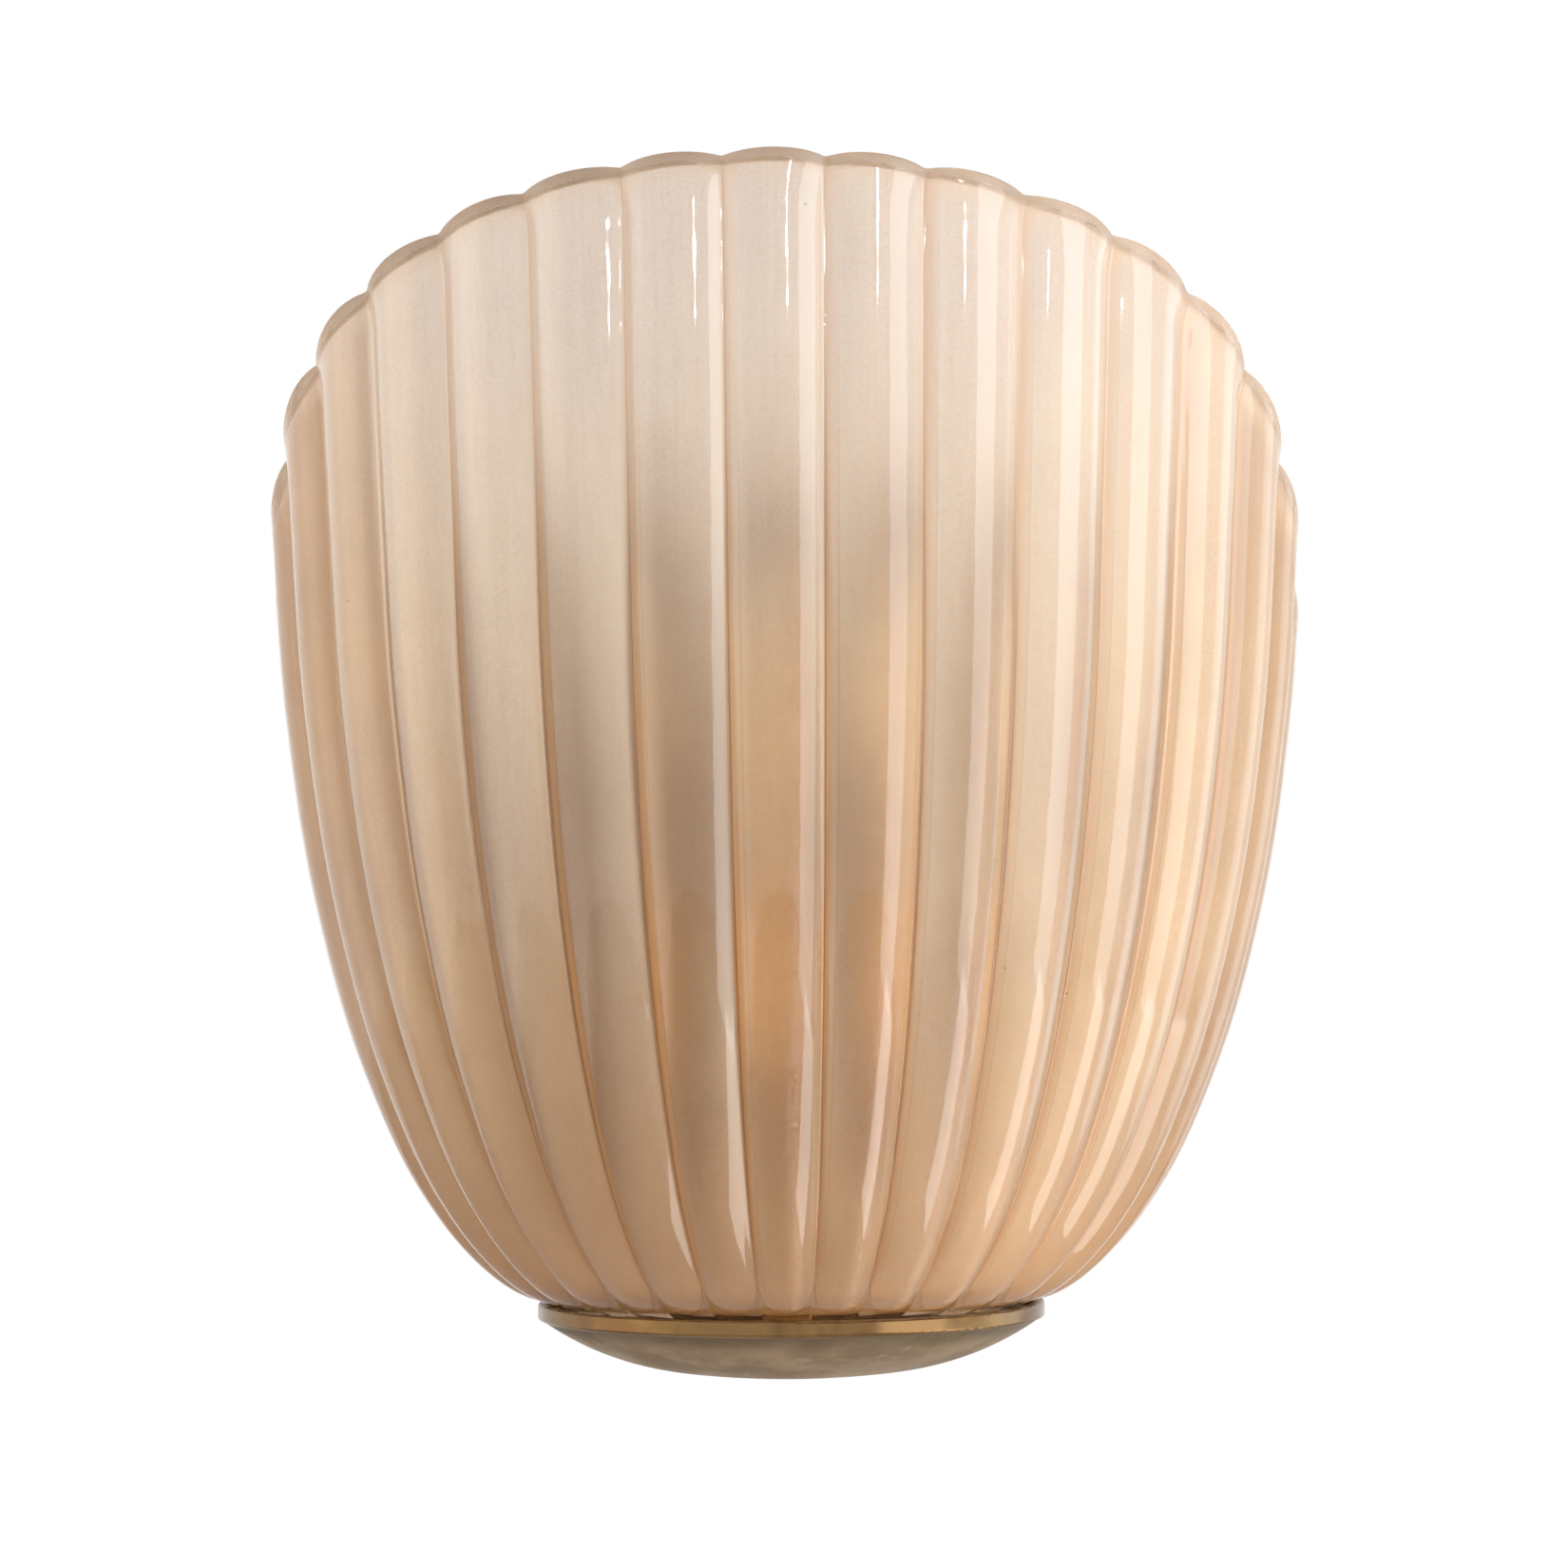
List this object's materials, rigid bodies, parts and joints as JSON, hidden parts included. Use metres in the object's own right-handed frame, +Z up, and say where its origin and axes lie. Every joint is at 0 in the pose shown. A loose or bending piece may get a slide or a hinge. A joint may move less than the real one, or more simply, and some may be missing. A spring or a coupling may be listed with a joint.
{
  "type": "shell wall sconce",
  "caption": "Wall light with a fluted, shell-shaped glass shade standing in a shallow brass dish that a tube arm holds off an arched wall plate.",
  "frame": {"origin": "on the wall, midway between the two wall-screw slots of the strap", "axes": "+Z up, +Y into the wall, so the room and the shade are at -Y, and +X to the right for someone facing the wall"},
  "size_m": [0.2515, 0.2339, 0.2987],
  "materials": {
    "shade_glass": "satin, champagne tint over a milky layer",
    "aged_brass": "aged, dull",
    "bright_brass": "satin",
    "felt": "felt",
    "zinc_steel": "zinc plated",
    "porcelain": "glazed",
    "opal_glass": "frosted",
    "nickel": "plated",
    "black_glass": "fused black insulator",
    "solder": "soft solder",
    "ivory_plastic": "moulded",
    "lead_sheath": "translucent sheath",
    "earth_sheath": "green and yellow sheath"
  },
  "bodies": {
    "wall_bracket": {"brass_dish": "aged_brass", "felt_ring": "felt", "dish_hub": "bright_brass", "hub_screws": "zinc_steel", "threaded_stem": "zinc_steel", "stem_nut": "bright_brass", "spacer_tube": "aged_brass", "holder_cap": "aged_brass", "holder_skirt": "aged_brass", "porcelain_core": "porcelain", "screw_shell": "bright_brass", "centre_contact": "bright_brass", "wall_plate": "aged_brass", "wall_strap": "zinc_steel", "plate_studs": "zinc_steel", "stud_nuts": "zinc_steel", "dome_nuts": "aged_brass", "bracket_arm": "aged_brass", "arm_boss": "zinc_steel", "arm_collar": "aged_brass", "collar_grub_screw": "zinc_steel", "terminal_block": "ivory_plastic", "terminal_sleeves": "bright_brass", "terminal_screw": "zinc_steel", "lead_wires": "lead_sheath", "earth_wire": "earth_sheath", "earth_screw": "bright_brass"},
    "shade": {"glass_shade": "shade_glass"},
    "bulb": {"bulb_globe": "opal_glass", "bulb_screw_cap": "nickel", "bulb_insulator": "black_glass", "bulb_contact": "solder"}
  },
  "joints": [
    {"name": "shade_lift", "type": "slide", "parent": "wall_bracket", "child": "shade", "axis": [0, 0, 1], "range_m": [0, 0.19]},
    {"name": "bulb_lift", "type": "slide", "parent": "wall_bracket", "child": "bulb", "axis": [0, 0, 1], "range_m": [0, 0.22]}
  ]
}
